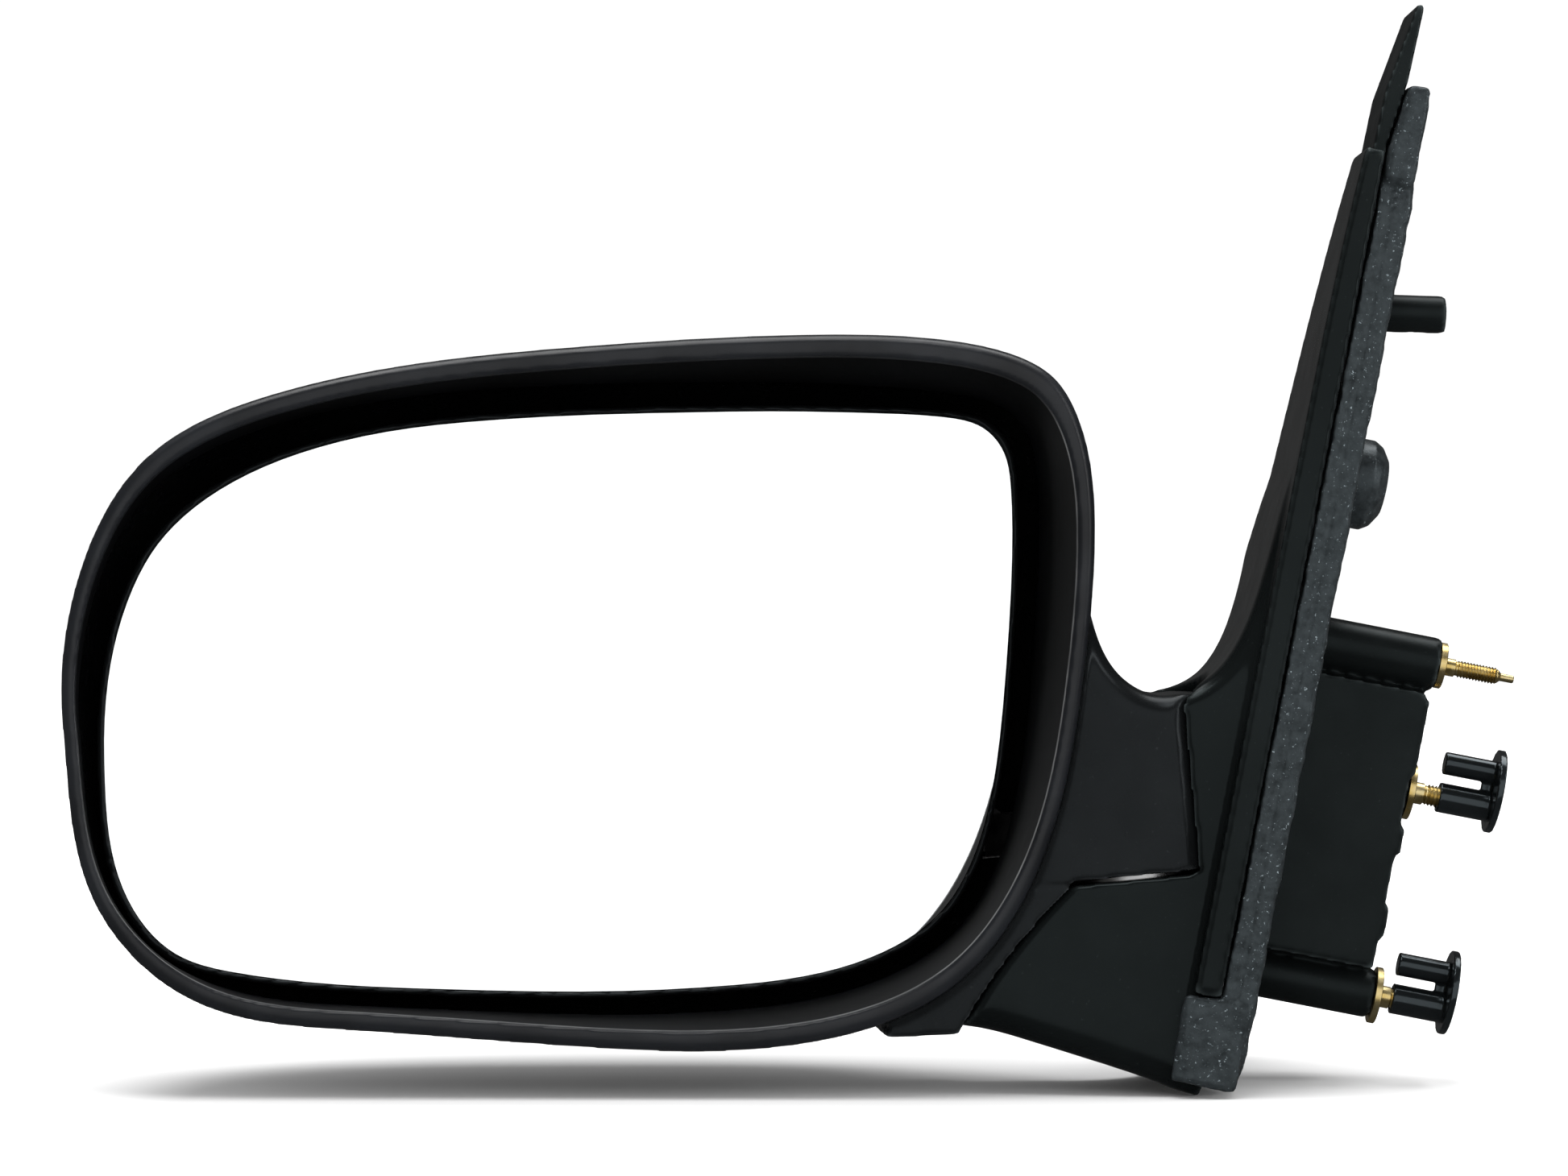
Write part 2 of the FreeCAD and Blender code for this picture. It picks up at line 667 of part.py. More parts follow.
def build_seal():
    """The two-bead seal on the sail's inner face, thickened to a lobe at each end of the rear."""
    inset = 4.6
    path = rounded_loop(sail_points(inset, dim("seal_depth")), 9.0)
    half = dim("seal_width") / 2
    height = dim("seal_height")
    bead_low = 0.7 * height
    right = [(half, 0), (half, 2.3), (half - 0.9, 3.0), (half, 3.7), (half, bead_low)]
    right = [Vector(across, 0, up) for across, up in right]
    left = [Vector(-point.x, 0, point.z) for point in reversed(right)]
    valley = [Vector(0.4, 0, bead_low - 0.6), Vector(-0.4, 0, bead_low - 0.6)]
    edges = polyline(right)
    edges.append(Part.Arc(right[-1], Vector(half * 0.55, 0, height), valley[0]).toShape())
    edges += polyline(valley)
    edges.append(Part.Arc(valley[1], Vector(-half * 0.55, 0, height), left[0]).toShape())
    edges += polyline(left + right[:1])
    profile = Part.Wire(Part.__sortEdges__(edges))
    start = path.Edges[0]
    tangent = start.tangentAt(start.FirstParameter)
    side = tangent.cross(X_AXIS)
    turn = Rotation(Matrix(
        side.x, tangent.x, X_AXIS.x, 0, side.y, tangent.y, X_AXIS.y, 0,
        side.z, tangent.z, X_AXIS.z, 0, 0, 0, 0, 1))
    profile.Placement = Placement(start.valueAt(start.FirstParameter), turn)
    ring = path.makePipeShell([profile], True, False)
    shaped("door_seal", ring.fuse([seal_lobe(0.0), top_lobe()]), SAIL)


def rounded_loop(points, radius):
    """A closed flat path of straight runs joined by arcs of one radius."""
    runs = []
    count = len(points)
    for index, corner in enumerate(points):
        before = (points[index - 1] - corner).normalize()
        after = (points[(index + 1) % count] - corner).normalize()
        half_angle = before.getAngle(after) / 2
        reach = radius / math.tan(half_angle)
        middle = corner + (before + after).normalize() * (radius / math.sin(half_angle))
        nearest = middle + (corner - middle).normalize() * radius
        runs.append((corner + before * reach, nearest, corner + after * reach))
    edges = []
    for index, (start, nearest, end) in enumerate(runs):
        edges.append(Part.Arc(start, nearest, end).toShape())
        edges.append(Part.makeLine(end, runs[(index + 1) % count][0]))
    return Part.Wire(edges)


def build_bumper():
    """The domed rubber stop on its post."""
    base = "-Sheet.plate_depth + Sheet.plate_thick + 9.5"
    turned("rubber_bumper", [
        ("0", base + " - 6"), ("3.45", base + " - 6"), ("3.45", base),
        ("Sheet.bumper_radius", base), ("Sheet.bumper_radius", base + " + 4"),
        ("Sheet.bumper_radius - 1.2", base + " + 6"), ("Sheet.bumper_radius - 4", base + " + 7.8"),
        ("0", base + " + 8.6"),
    ], sail_spot(dim("bumper_y"), dim("bumper_up")))


def build_studs():
    """Three zinc-plated studs with seat flanges; the upper one is thinner with a pilot tip."""
    foot = [
        ("0", "-Sheet.stud_shank"), ("Sheet.stud_shank_radius", "-Sheet.stud_shank"),
        ("Sheet.stud_shank_radius", "-Sheet.seat_flange_thick"),
    ]
    for label, fore_aft, up in (("stud_front", 0.0, 0.0),
                                ("stud_lower", dim("lower_stud_y"), dim("lower_stud_up"))):
        turned(label, foot + [
            ("Sheet.stud_flange_radius", "-Sheet.seat_flange_thick"),
            ("Sheet.stud_flange_radius", "0"), ("Sheet.stud_radius", "0"),
            ("Sheet.stud_radius", "Sheet.stud_shoulder"),
            ("Sheet.stud_thread_radius", "Sheet.stud_shoulder"),
            ("Sheet.stud_thread_radius", "Sheet.stud_length - 1"),
            ("Sheet.stud_thread_radius - 0.8", "Sheet.stud_length"), ("0", "Sheet.stud_length"),
        ], sail_spot(fore_aft, up))
    turned("stud_upper", foot + [
        ("Sheet.pilot_flange_radius", "-Sheet.seat_flange_thick"),
        ("Sheet.pilot_flange_radius", "0"), ("Sheet.pilot_stud_radius", "0"),
        ("Sheet.pilot_stud_radius", "Sheet.stud_shoulder"),
        ("Sheet.pilot_thread_radius", "Sheet.stud_shoulder"),
        ("Sheet.pilot_thread_radius", "Sheet.pilot_stud_length"),
        ("Sheet.pilot_tip_radius", "Sheet.pilot_stud_length + 0.6"),
        ("Sheet.pilot_tip_radius", "Sheet.pilot_stud_length + Sheet.pilot_tip_length"),
        ("0", "Sheet.pilot_stud_length + Sheet.pilot_tip_length"),
    ], sail_spot(dim("upper_stud_y"), dim("upper_stud_up")))


def build_cap(label, fore_aft, up, start):
    """A push-on cap: disc, stud barrel with a blind bore, a peg and a web between them."""
    body = doc.addObject("PartDesign::Body", label)
    centre = (fore_aft, up)
    barrels = new_sketch(body, label + "_barrels", "YZ_Plane", start)
    add_circle(barrels, centre, "Sheet.cap_barrel_radius")
    add_circle(barrels, (fore_aft, up + " + Sheet.cap_peg_offset"), "Sheet.cap_peg_radius")
    disc = new_sketch(body, label + "_disc", "YZ_Plane", start + " + Sheet.cap_length")
    add_circle(disc, (fore_aft, up + " + Sheet.cap_disc_offset"), "Sheet.cap_disc_radius")
    pad(body, disc, label + "_disc_pad", "Sheet.cap_disc_thick")
    pad(body, barrels, label + "_barrel_pad", "Sheet.cap_length + 0.2")
    web = new_sketch(body, label + "_web", "YZ_Plane", start + " + Sheet.cap_length - 2.4")
    add_outline(web, rectangle(
        fore_aft + " - 0.6", up + " + 2", fore_aft + " + 0.6", up + " + Sheet.cap_peg_offset"))
    pad(body, web, label + "_web_pad", "2.6")
    bore = new_sketch(body, label + "_bore", "YZ_Plane", start + " + Sheet.cap_bore_depth")
    add_circle(bore, centre, "Sheet.cap_bore_radius")
    pocket(body, bore, label + "_bore_pocket", "Sheet.cap_bore_depth + 1")
    keep(body, label, SAIL)


def build_frame_screws():
    """The screws that hold the frame plate down on the base moulding."""
    top = dim("plate_depth") - dim("plate_thick")
    pieces = []
    for spot in SCREW_SPOTS:
        shank = sail_cylinder(dim("screw_radius"), spot, dim("skin_depth") - 1.2, top)
        head = sail_cylinder(dim("screw_head_radius"), spot, top, top - dim("screw_head_thick"))
        pieces.append(shank.fuse(head))
    feature = doc.addObject("Part::Feature", "frame_screws")
    feature.Shape = Part.makeCompound([piece.removeSplitter() for piece in pieces])
    keep(feature, "frame_screws", SAIL)


# ---------------------------------------------------------------- fold pivot parts

def build_pivot():
    """Post, detent plate, washer, spring, cup and clip on the fold axis."""
    turned("pivot_post", [
        ("0", "-23"), ("10", "-23"), ("10", "-20"), ("Sheet.post_radius", "-20"),
        ("Sheet.post_radius", "Sheet.clip_low"), ("Sheet.post_radius - 0.9", "Sheet.clip_low"),
        ("Sheet.post_radius - 0.9", "Sheet.clip_low + Sheet.clip_thick + 0.1"),
        ("Sheet.post_radius", "Sheet.clip_low + Sheet.clip_thick + 0.1"),
        ("Sheet.post_radius", "Sheet.post_height - 0.7"),
        ("Sheet.post_radius - 0.7", "Sheet.post_height"), ("0", "Sheet.post_height"),
    ], FOLD)
    ball_height = dim("flange_low")
    track = Part.makeTorus(
        dim("detent_circle"), dim("detent_ball_radius") + dim("running_gap"),
        Vector(0, 0, ball_height))
    bore = cylinder(dim("post_radius") + dim("press_gap"), -1, 5)
    plate = cylinder(dim("detent_radius"), 0, dim("detent_thick")).cut(bore).cut(track)
    for turn in (30, 150, 270):
        notch = Part.makeBox(5, 1.4, 2, Vector(9, -0.7, 0.7))
        notch.rotate(ORIGIN, Z_AXIS, turn)
        plate = plate.cut(notch)
    shaped("detent_plate", plate, FOLD)
    balls = [
        Part.makeSphere(dim("detent_ball_radius"), Vector(
            dim("detent_circle") * math.cos(math.radians(turn)),
            dim("detent_circle") * math.sin(math.radians(turn)), ball_height))
        for turn in (30, 150, 270)
    ]
    feature = doc.addObject("Part::Feature", "detent_balls")
    feature.Shape = Part.makeCompound(balls)
    keep(feature, "detent_balls", FOLD)
    low = "Sheet.detent_thick + Sheet.running_gap"
    high = "Sheet.flange_low - Sheet.running_gap"
    turned("wear_washer", [
        ("Sheet.post_radius + Sheet.running_gap", low), ("Sheet.sleeve_radius", low),
        ("Sheet.sleeve_radius", high), ("Sheet.post_radius + Sheet.running_gap", high),
    ], FOLD)
    build_fold_spring()
    cup_low = "Sheet.spring_top + Sheet.running_gap"
    cup_high = "Sheet.clip_low - Sheet.running_gap"
    turned("spring_cup", [
        ("Sheet.post_radius + Sheet.running_gap", cup_low), ("9.6", cup_low),
        ("9.6", "Sheet.spring_top - 2"), ("10.4", "Sheet.spring_top - 2"), ("10.4", cup_high),
        ("Sheet.post_radius + Sheet.running_gap", cup_high),
    ], FOLD)
    clip_low = "Sheet.clip_low + Sheet.press_gap"
    clip_high = "Sheet.clip_low + Sheet.clip_thick"
    turned("retaining_clip", [
        ("Sheet.post_radius - 0.85", clip_low), ("8.6", clip_low), ("8.6", clip_high),
        ("Sheet.post_radius - 0.85", clip_high),
    ], FOLD)


def build_fold_spring():
    """The coil spring that holds the head down on its detents."""
    wire = dim("spring_wire")
    low = dim("sleeve_top") + dim("running_gap") + wire
    high = dim("spring_top") - wire
    turns = 4.5
    helix = Part.makeHelix((high - low) / turns, high - low, dim("spring_radius"))
    section = Part.Wire(Part.makeCircle(
        wire, Vector(dim("spring_radius"), 0, 0), Y_AXIS))
    coil = Part.Wire(helix.Edges).makePipeShell([section], True, True)
    shaped("fold_spring", coil, FOLD.multiply(Placement(Vector(0, 0, low), Rotation())))


# ---------------------------------------------------------------- housing

def head_neck():
    """The neck that stands on the knuckle, and its link into the housing."""
    notch = open_spline([
        Vector(-76.5, 0, 46), Vector(-74.2, 0, 37), Vector(-70.0, 0, 28.5),
        Vector(-63.5, 0, 23.6), Vector(-56, 0, 23.2),
    ])
    edges = [notch] + polyline([
        Vector(-56, 0, 23.2), Vector(-30, 0, 23.2), Vector(-30, 0, -40), Vector(-92, 0, -40),
        Vector(-92, 0, 46), Vector(-76.5, 0, 46),
    ])
    rear_view = prism(edges, Vector(0, 2 * BIG, 0)).translated(Vector(0, -BIG, 0))
    column = fold_cylinder(dim("neck_radius"), dim("joint_gap"), 90)
    rear = dim("arm_rear")
    link = prism([
        Part.Arc(Vector(-76.6, 2, -30), Vector(-80.5, 12.5, -30), Vector(-92, 17, -30)).toShape(),
    ] + polyline([
        Vector(-92, 17, -30), Vector(-92, rear, -30), Vector(-76.6, rear, -30),
        Vector(-76.6, 2, -30),
    ]), Vector(0, 0, 90))
    above_joint = placed(
        Part.makeBox(2 * BIG, 2 * BIG, BIG, Vector(-BIG, -BIG, dim("joint_gap"))), FOLD)
    return column.fuse(link.common(above_joint)).common(rear_rounded(rear_view))


SHELL_SCREWS = [(-244.0, 0.0), (-244.0, 42.0), (-140.0, 0.0), (-140.0, 42.0)]


def skirt():
    """The housing's flank that wraps the outboard side of the knuckle."""
    corners = [(-133, -46), (-129.5, -50.4), (-119, -52.0), (-100, -51.2), (-70, -14), (-84, -12),
               (-104, -30)]
    rear = dim("arm_rear")
    rear_view = straight_prism([Vector(x, rear, z) for x, z in corners], Vector(0, 44, 0))
    return knuckle_volume(dim("joint_gap") + 16.0).common(rear_view)


def arm_corridor(spread):
    """The bracket's way out of the neck into the housing, grown by a spread, on the joint face."""
    outline = wire_through([
        (-0.2, 17.0), (-8.2, 15.5), (-13.2, 23.0), (-16.7, 30.0), (-25.4, 35.0), (-30.2, 35.0),
        (-30.2, 31.0), (-22.2, 25.0), (-18.2, 18.0), (-12.2, 4.0), (-0.2, 4.0),
    ])
    low = 5.3 - spread
    grown = outline.makeOffset2D(spread) if spread > 0 else outline
    block = Part.Face(grown).extrude(Vector(0, 0, 9.5 + 2 * spread))
    return placed(block.translated(Vector(0, 0, low)), FOLD)


def build_housing():
    """The outer shell: hollow, open at the rim, with a pocket around the knuckle."""
    wall = dim("shell_wall")
    gap = dim("joint_gap")
    cavity = placed(head_volume(wall, dim("lip_height") - 1, dim("head_depth") - wall), HEAD)
    cavity = cavity.cut(knuckle_volume(gap + wall, gap + wall))
    neck = head_neck().cut(recess_volume(2.3))
    dome = placed(head_volume(0.0, dim("lip_height"), dim("head_depth")), HEAD)
    solid = dome.fuse([neck, skirt()]).cut(knuckle_volume(gap, gap)).cut(cavity)
    solid = solid.cut(fold_cylinder(12.5, 4.0, 36.0))
    solid = solid.cut(fold_cylinder(dim("detent_radius") + 0.5, 0, dim("flange_top") + 0.3))
    solid = solid.cut(arm_corridor(0.4))
    plate_front = dim("bracket_y") + dim("bracket_thick")
    solid = clear_of_glass(solid)
    for across, up in SHELL_SCREWS:
        post = Part.makeCylinder(4.5, 80, Vector(across, plate_front, up), Y_AXIS)
        hole = Part.makeCylinder(dim("screw_radius"), 18, Vector(across, plate_front, up), Y_AXIS)
        solid = solid.fuse(post.common(dome)).cut(hole)
    shaped("housing_shell", max(solid.Solids, key=lambda piece: piece.Volume))


def recess_volume(spread):
    """The tapering hollow in front of the glass, grown by a spread."""
    inset = (dim("lip_width") - spread, dim("lip_width") + 1.1 - spread)
    mouth = rim_section(-2.0 if spread == 0 else 1.6, inset)
    floor = glass_section(dim("recess_depth"), dim("bead_width") + dim("recess_gap") + spread)
    floor.translate(Vector(dim("glass_x") - dim("head_x"), 0, dim("glass_z") - dim("head_z")))
    return placed(Part.makeLoft([mouth, floor], True, True), HEAD)


def clear_of_glass(solid):
    """Cut away what the glass carrier, slightly grown, passes through as it pans and tilts."""
    front = -dim("ball_behind_glass") - dim("bead_proud") - 0.4
    grown = dim("bead_width") + 0.35
    block = Part.makeLoft(
        [glass_section(front, grown), glass_section(front + 7.4, grown - 1.6)], True, True)
    for pan in (-3.1, 0, 2.6, 5.1):
        for tilt in (-5.1, -2.6, 0, 2.6, 5.1):
            turn = Rotation(Z_AXIS, pan).multiply(Rotation(X_AXIS, tilt))
            solid = solid.cut(placed(block, BALL.multiply(Placement(ORIGIN, turn))))
    return solid


def build_bezel():
    """The rounded rim and the recess wall, which ends just short of the glass bead."""
    lip = dim("lip_height")
    wall = dim("shell_wall")
    ring = Part.makeLoft([
        rim_section(0.0, (1.6, 1.6)), rim_section(1.0, (0.5, 0.5)), rim_section(lip, (0.0, 0.0)),
    ], True, True)
    inside = placed(head_volume(wall + 0.2, lip - 0.5, dim("head_depth") - wall), HEAD)
    bead_face = -dim("ball_behind_glass") - dim("bead_proud")
    near_glass = placed(
        Part.makeBox(2 * BIG, BIG, 2 * BIG, Vector(-BIG, bead_face - 1.5, -BIG)), BALL)
    tube = recess_volume(2.0).common(inside).cut(near_glass)
    solid = placed(ring, HEAD).fuse(tube).cut(recess_volume(0.0))
    pocket_wall = dim("joint_gap") + wall + 0.3
    solid = clear_of_glass(solid.cut(knuckle_volume(pocket_wall, pocket_wall)))
    shaped("rim_bezel", max(solid.Solids, key=lambda piece: piece.Volume))


# ---------------------------------------------------------------- glass

def glass_plate(start, thick, spread):
    """A flat plate of the glass's outline, in the ball's frame."""
    return Part.Face(glass_section(start, spread)).extrude(Vector(0, thick, 0))


def ring_spots(radius, count, first):
    """Points evenly spaced on a circle about the ball's fore-aft axis."""
    turns = [math.radians(first + 360.0 * index / count) for index in range(count)]
    return [(radius * math.cos(turn), radius * math.sin(turn)) for turn in turns]


def build_glass():
    """Mirror glass, foam pad, carrier with bead and socket, cup, retainer and its screws."""
    face = -dim("ball_behind_glass")
    gap = dim("running_gap")
    back = face + dim("glass_thick")
    plate_low = back + dim("pad_thick")
    plate_high = plate_low + dim("carrier_thick")
    shaped("mirror_glass", glass_plate(face, dim("glass_thick"), 0), BALL)
    shaped("adhesive_pad", glass_plate(back, dim("pad_thick"), -4), BALL)

    bead_top = face - dim("bead_proud")
    bead = Part.makeLoft([
        glass_section(bead_top, dim("bead_width") - 1.1),
        glass_section(bead_top + 1.0, dim("bead_width")),
        glass_section(plate_high, dim("bead_width") - 2.0),
    ], True, True)
    seat = glass_plate(face - 5, 5 + dim("glass_thick") + dim("pad_thick"), 0.15)
    cup_radius = dim("ball_radius") + dim("cup_thick")
    hub_radius = cup_radius + 7
    socket = Part.makeSphere(cup_radius + gap)
    hub_top = 2.0
    hub = Part.makeCylinder(
        hub_radius, hub_top - plate_high + 0.5, Vector(0, plate_high - 0.5, 0), Y_AXIS)
    ribs = [
        Part.makeBox(reach, 3.5, 1.8, Vector(low, plate_high - 0.5, up))
        for low, reach, up in ((-82, 70, -20), (12, 70, -20), (-82, 70, 20), (12, 70, 20),
                               (-88, 76, -0.9), (12, 76, -0.9))
    ]
    carrier = bead.cut(seat).fuse([hub] + ribs).cut(socket)
    screw_spots = ring_spots(12.3, 3, 90)
    for across, up in screw_spots:
        carrier = carrier.cut(Part.makeCylinder(1.2, 7, Vector(across, hub_top - 6, up), Y_AXIS))
    shaped("glass_carrier", carrier, BALL)

    ball = Part.makeSphere(dim("ball_radius") + gap)
    mouth = Part.makeBox(40, 40, 40, Vector(-20, 3.0, -20))
    shaped("friction_cup", Part.makeSphere(cup_radius).cut(ball).cut(mouth), BALL)

    ring_low = hub_top + 0.05
    retainer = Part.makeCylinder(hub_radius, 3.0, Vector(0, ring_low, 0), Y_AXIS).cut(socket)
    screws = []
    for across, up in screw_spots:
        start = Vector(across, hub_top - 5, up)
        head_low = ring_low + 3.0
        shank = Part.makeCylinder(1.15, head_low - start.y, start, Y_AXIS)
        head = Part.makeCylinder(2.2, 1.5, Vector(across, head_low, up), Y_AXIS)
        retainer = retainer.cut(
            Part.makeCylinder(1.2, 6, Vector(across, ring_low - 1, up), Y_AXIS))
        screws.append(shank.fuse(head).removeSplitter())
    shaped("cup_retainer", retainer, BALL)
    feature = doc.addObject("Part::Feature", "retainer_screws")
    feature.Shape = Part.makeCompound(screws)
    keep(feature, "retainer_screws", BALL)


def build_ball_stud():
    """The ball on its stem and foot, screwed to the bracket."""
    reach = dim("bracket_y") - BALL.Base.y
    ball = doc.addObject("Part::Sphere", "ball")
    ball.setExpression("Radius", "Sheet.ball_radius")
    stem = doc.addObject("Part::Cylinder", "ball_stem")
    stem.setExpression("Radius", "Sheet.stem_radius")
    stem.Height = reach
    foot = doc.addObject("Part::Cylinder", "ball_foot")
    foot.setExpression("Radius", "Sheet.stem_radius + 5")
    foot.Height = 3
    foot.Placement = Placement(Vector(0, 0, reach - 3), Rotation())
    joined = doc.addObject("Part::MultiFuse", "ball_stud")
    joined.Shapes = [ball, stem, foot]
    doc.recompute()
    keep(joined, "ball_stud", Placement(BALL.Base, Rotation(X_AXIS, -90)))


def build_bracket():
    """The die-cast bracket: pivot flange and sleeve, arm and the plate behind the glass."""
    low = dim("flange_low")
    pivot = cylinder(dim("detent_radius"), low, dim("flange_top"))
    pivot = pivot.fuse(cylinder(dim("sleeve_radius"), low, dim("sleeve_top")))
    pivot = pivot.cut(cylinder(dim("post_radius") + dim("running_gap"), 0, 40))
    for turn in (30, 150, 270):
        angle = math.radians(turn)
        spot = Vector(math.cos(angle), math.sin(angle), 0) * dim("detent_circle")
        spot.z = low
        pivot = pivot.cut(Part.makeSphere(dim("detent_ball_radius") + dim("press_gap"), spot))
    outline = [
        (-252, -8), (-132, -8), (-104, -14), (-92.5, -14), (-92.5, -5.5), (-106, 6), (-128, 22),
        (-132, 50), (-252, 50),
    ]
    plate = straight_prism(
        [Vector(across, dim("bracket_y"), up) for across, up in outline],
        Vector(0, dim("bracket_thick"), 0))
    centre = BALL.Base
    plate_front = dim("bracket_y") + dim("bracket_thick")
    for across, up in ((-228, 21), (-158, 21)):
        plate = plate.cut(Part.makeCylinder(
            13, 20, Vector(across, dim("bracket_y") - 5, up), Y_AXIS))
    rib = Part.makeBox(118, 6, 3, Vector(-250, plate_front - 1, centre.z - 12))
    rib_top = Part.makeBox(118, 6, 3, Vector(-250, plate_front - 1, centre.z + 9))
    arm = arm_corridor(0.0).cut(fold_cylinder(dim("sleeve_radius"), 0, 40))
    solid = placed(pivot, FOLD).fuse([arm, plate, rib, rib_top])
    for across, up in SHELL_SCREWS:
        solid = solid.cut(Part.makeCylinder(
            dim("screw_radius") + dim("press_gap"), 20,
            Vector(across, dim("bracket_y") - 5, up), Y_AXIS))
    shaped("pivot_bracket", solid)
    screws = []
    for across, up in SHELL_SCREWS:
        head = Part.makeCylinder(
            dim("screw_head_radius"), dim("screw_head_thick"),
            Vector(across, dim("bracket_y") - dim("screw_head_thick"), up), Y_AXIS)
        shank = Part.makeCylinder(
            dim("screw_radius"), 18, Vector(across, dim("bracket_y"), up), Y_AXIS)
        screws.append(head.fuse(shank).removeSplitter())
    feature = doc.addObject("Part::Feature", "bracket_screws")
    feature.Shape = Part.makeCompound(screws)
    keep(feature, "bracket_screws")


build_base_arm()
build_frame()
build_seal()
build_bumper()
build_studs()
build_cap("stud_cap_front", "0", "0", "Sheet.front_cap_start")
build_cap(
    "stud_cap_lower", "Sheet.lower_stud_y", "Sheet.lower_stud_up", "Sheet.lower_cap_start")
build_frame_screws()
build_pivot()
build_housing()
build_bezel()
build_bracket()
build_ball_stud()
build_glass()

doc.recompute()
for item in doc.Objects:
    if "Invalid" in item.State or "Error" in item.State:
        raise RuntimeError(item.Label + " failed to build")
for part in subparts:
    if part.Shape.isNull() or not part.Shape.isValid():
        raise RuntimeError(part.Label + " has no valid shape")

os.makedirs("parts", exist_ok=True)
for part in subparts:
    part.Shape.exportStep("parts/%s.step" % part.Label)
    print(part.Label, len(part.Shape.Solids), round(part.Shape.Volume))
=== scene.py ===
import json
import math

import bmesh
import bpy
import numpy as np
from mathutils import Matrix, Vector, noise


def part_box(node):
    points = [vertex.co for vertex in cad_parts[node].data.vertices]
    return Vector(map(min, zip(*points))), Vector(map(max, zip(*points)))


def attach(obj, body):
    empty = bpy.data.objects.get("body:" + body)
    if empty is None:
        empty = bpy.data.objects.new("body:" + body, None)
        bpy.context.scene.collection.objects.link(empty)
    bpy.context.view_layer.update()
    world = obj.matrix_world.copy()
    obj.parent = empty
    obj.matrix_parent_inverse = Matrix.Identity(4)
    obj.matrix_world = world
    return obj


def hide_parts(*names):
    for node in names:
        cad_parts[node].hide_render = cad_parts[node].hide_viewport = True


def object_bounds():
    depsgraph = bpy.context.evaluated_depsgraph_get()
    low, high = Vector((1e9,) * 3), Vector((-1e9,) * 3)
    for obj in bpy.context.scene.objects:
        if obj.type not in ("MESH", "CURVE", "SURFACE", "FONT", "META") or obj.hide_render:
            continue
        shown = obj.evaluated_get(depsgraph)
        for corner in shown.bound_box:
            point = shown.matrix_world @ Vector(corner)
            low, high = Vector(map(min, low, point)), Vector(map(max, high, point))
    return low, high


# Looks for a left-hand door mirror: moulded black plastics, rubber seal, zinc studs and glass.
# Metres, +Z up, the glass faces -Y and the car's door is on the +X side.

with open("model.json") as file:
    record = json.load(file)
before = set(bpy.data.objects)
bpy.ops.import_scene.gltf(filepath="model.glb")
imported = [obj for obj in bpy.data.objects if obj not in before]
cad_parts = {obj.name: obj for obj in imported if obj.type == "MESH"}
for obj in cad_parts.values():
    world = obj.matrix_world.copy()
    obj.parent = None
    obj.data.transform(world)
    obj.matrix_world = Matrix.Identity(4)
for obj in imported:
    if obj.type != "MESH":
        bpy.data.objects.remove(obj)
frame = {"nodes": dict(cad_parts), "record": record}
nodes = frame["nodes"]
record = frame["record"]
cad_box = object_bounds()
MM = 0.001
mounts = {mount["name"]: mount for mount in record["mounts"]}


# ---------------------------------------------------------------- materials

class Shader:
    """One node material under construction, in object coordinates measured in metres."""

    def __init__(self, name):
        self.material = bpy.data.materials.new(name)
        self.material.use_nodes = True
        self.tree = self.material.node_tree
        self.surface = self.tree.nodes["Principled BSDF"]
        self.place = self.tree.nodes.new("ShaderNodeTexCoord").outputs["Object"]

    def node(self, kind, settings=None, **inputs):
        """Add a node; inputs are plain values or sockets, named as on the node."""
        made = self.tree.nodes.new(kind)
        for key, setting in (settings or {}).items():
            setattr(made, key, setting)
        for key, given in inputs.items():
            self.feed(made.inputs[key.replace("_", " ")], given)
        return made

    def feed(self, socket, given):
        """Link a socket, or set a plain value, on a node's input."""
        if isinstance(given, bpy.types.NodeSocket):
            self.tree.links.new(given, socket)
        else:
            socket.default_value = given

    def noise(self, size_mm, detail=2.0, roughness=0.5, place=None):
        """Noise whose blobs are about this many millimetres across."""
        made = self.node("ShaderNodeTexNoise", Scale=1000.0 / size_mm, Detail=detail, Roughness=roughness)
        self.feed(made.inputs["Vector"], place or self.place)
        return made.outputs["Fac"]

    def remap(self, factor, low, high, out_low=0.0, out_high=1.0):
        """Stretch a factor smoothly from one range to another."""
        made = self.node("ShaderNodeMapRange", {"interpolation_type": "SMOOTHSTEP"})
        self.feed(made.inputs["Value"], factor)
        ends = {"From Min": low, "From Max": high, "To Min": out_low, "To Max": out_high}
        for key, number in ends.items():
            made.inputs[key].default_value = number
        return made.outputs["Result"]

    def mix(self, factor, first, second):
        """Blend two colours."""
        made = self.node("ShaderNodeMix", {"data_type": "RGBA"})
        self.feed(made.inputs[0], factor)
        self.feed(made.inputs[6], first)
        self.feed(made.inputs[7], second)
        return made.outputs[2]

    def bump(self, height, depth_mm, under=None):
        """A normal bent by a height, over another bump if one is given."""
        made = self.node("ShaderNodeBump", Strength=1.0, Distance=depth_mm * MM, Height=height)
        if under is not None:
            self.feed(made.inputs["Normal"], under)
        return made.outputs["Normal"]

    def set(self, **inputs):
        """Feed the surface shader's own inputs."""
        for key, given in inputs.items():
            self.feed(self.surface.inputs[key.replace("_", " ")], given)


def grey(level, tint=(1.0, 1.0, 1.0)):
    """A grey of one brightness, leaning towards a tint."""
    return (level * tint[0], level * tint[1], level * tint[2], 1.0)


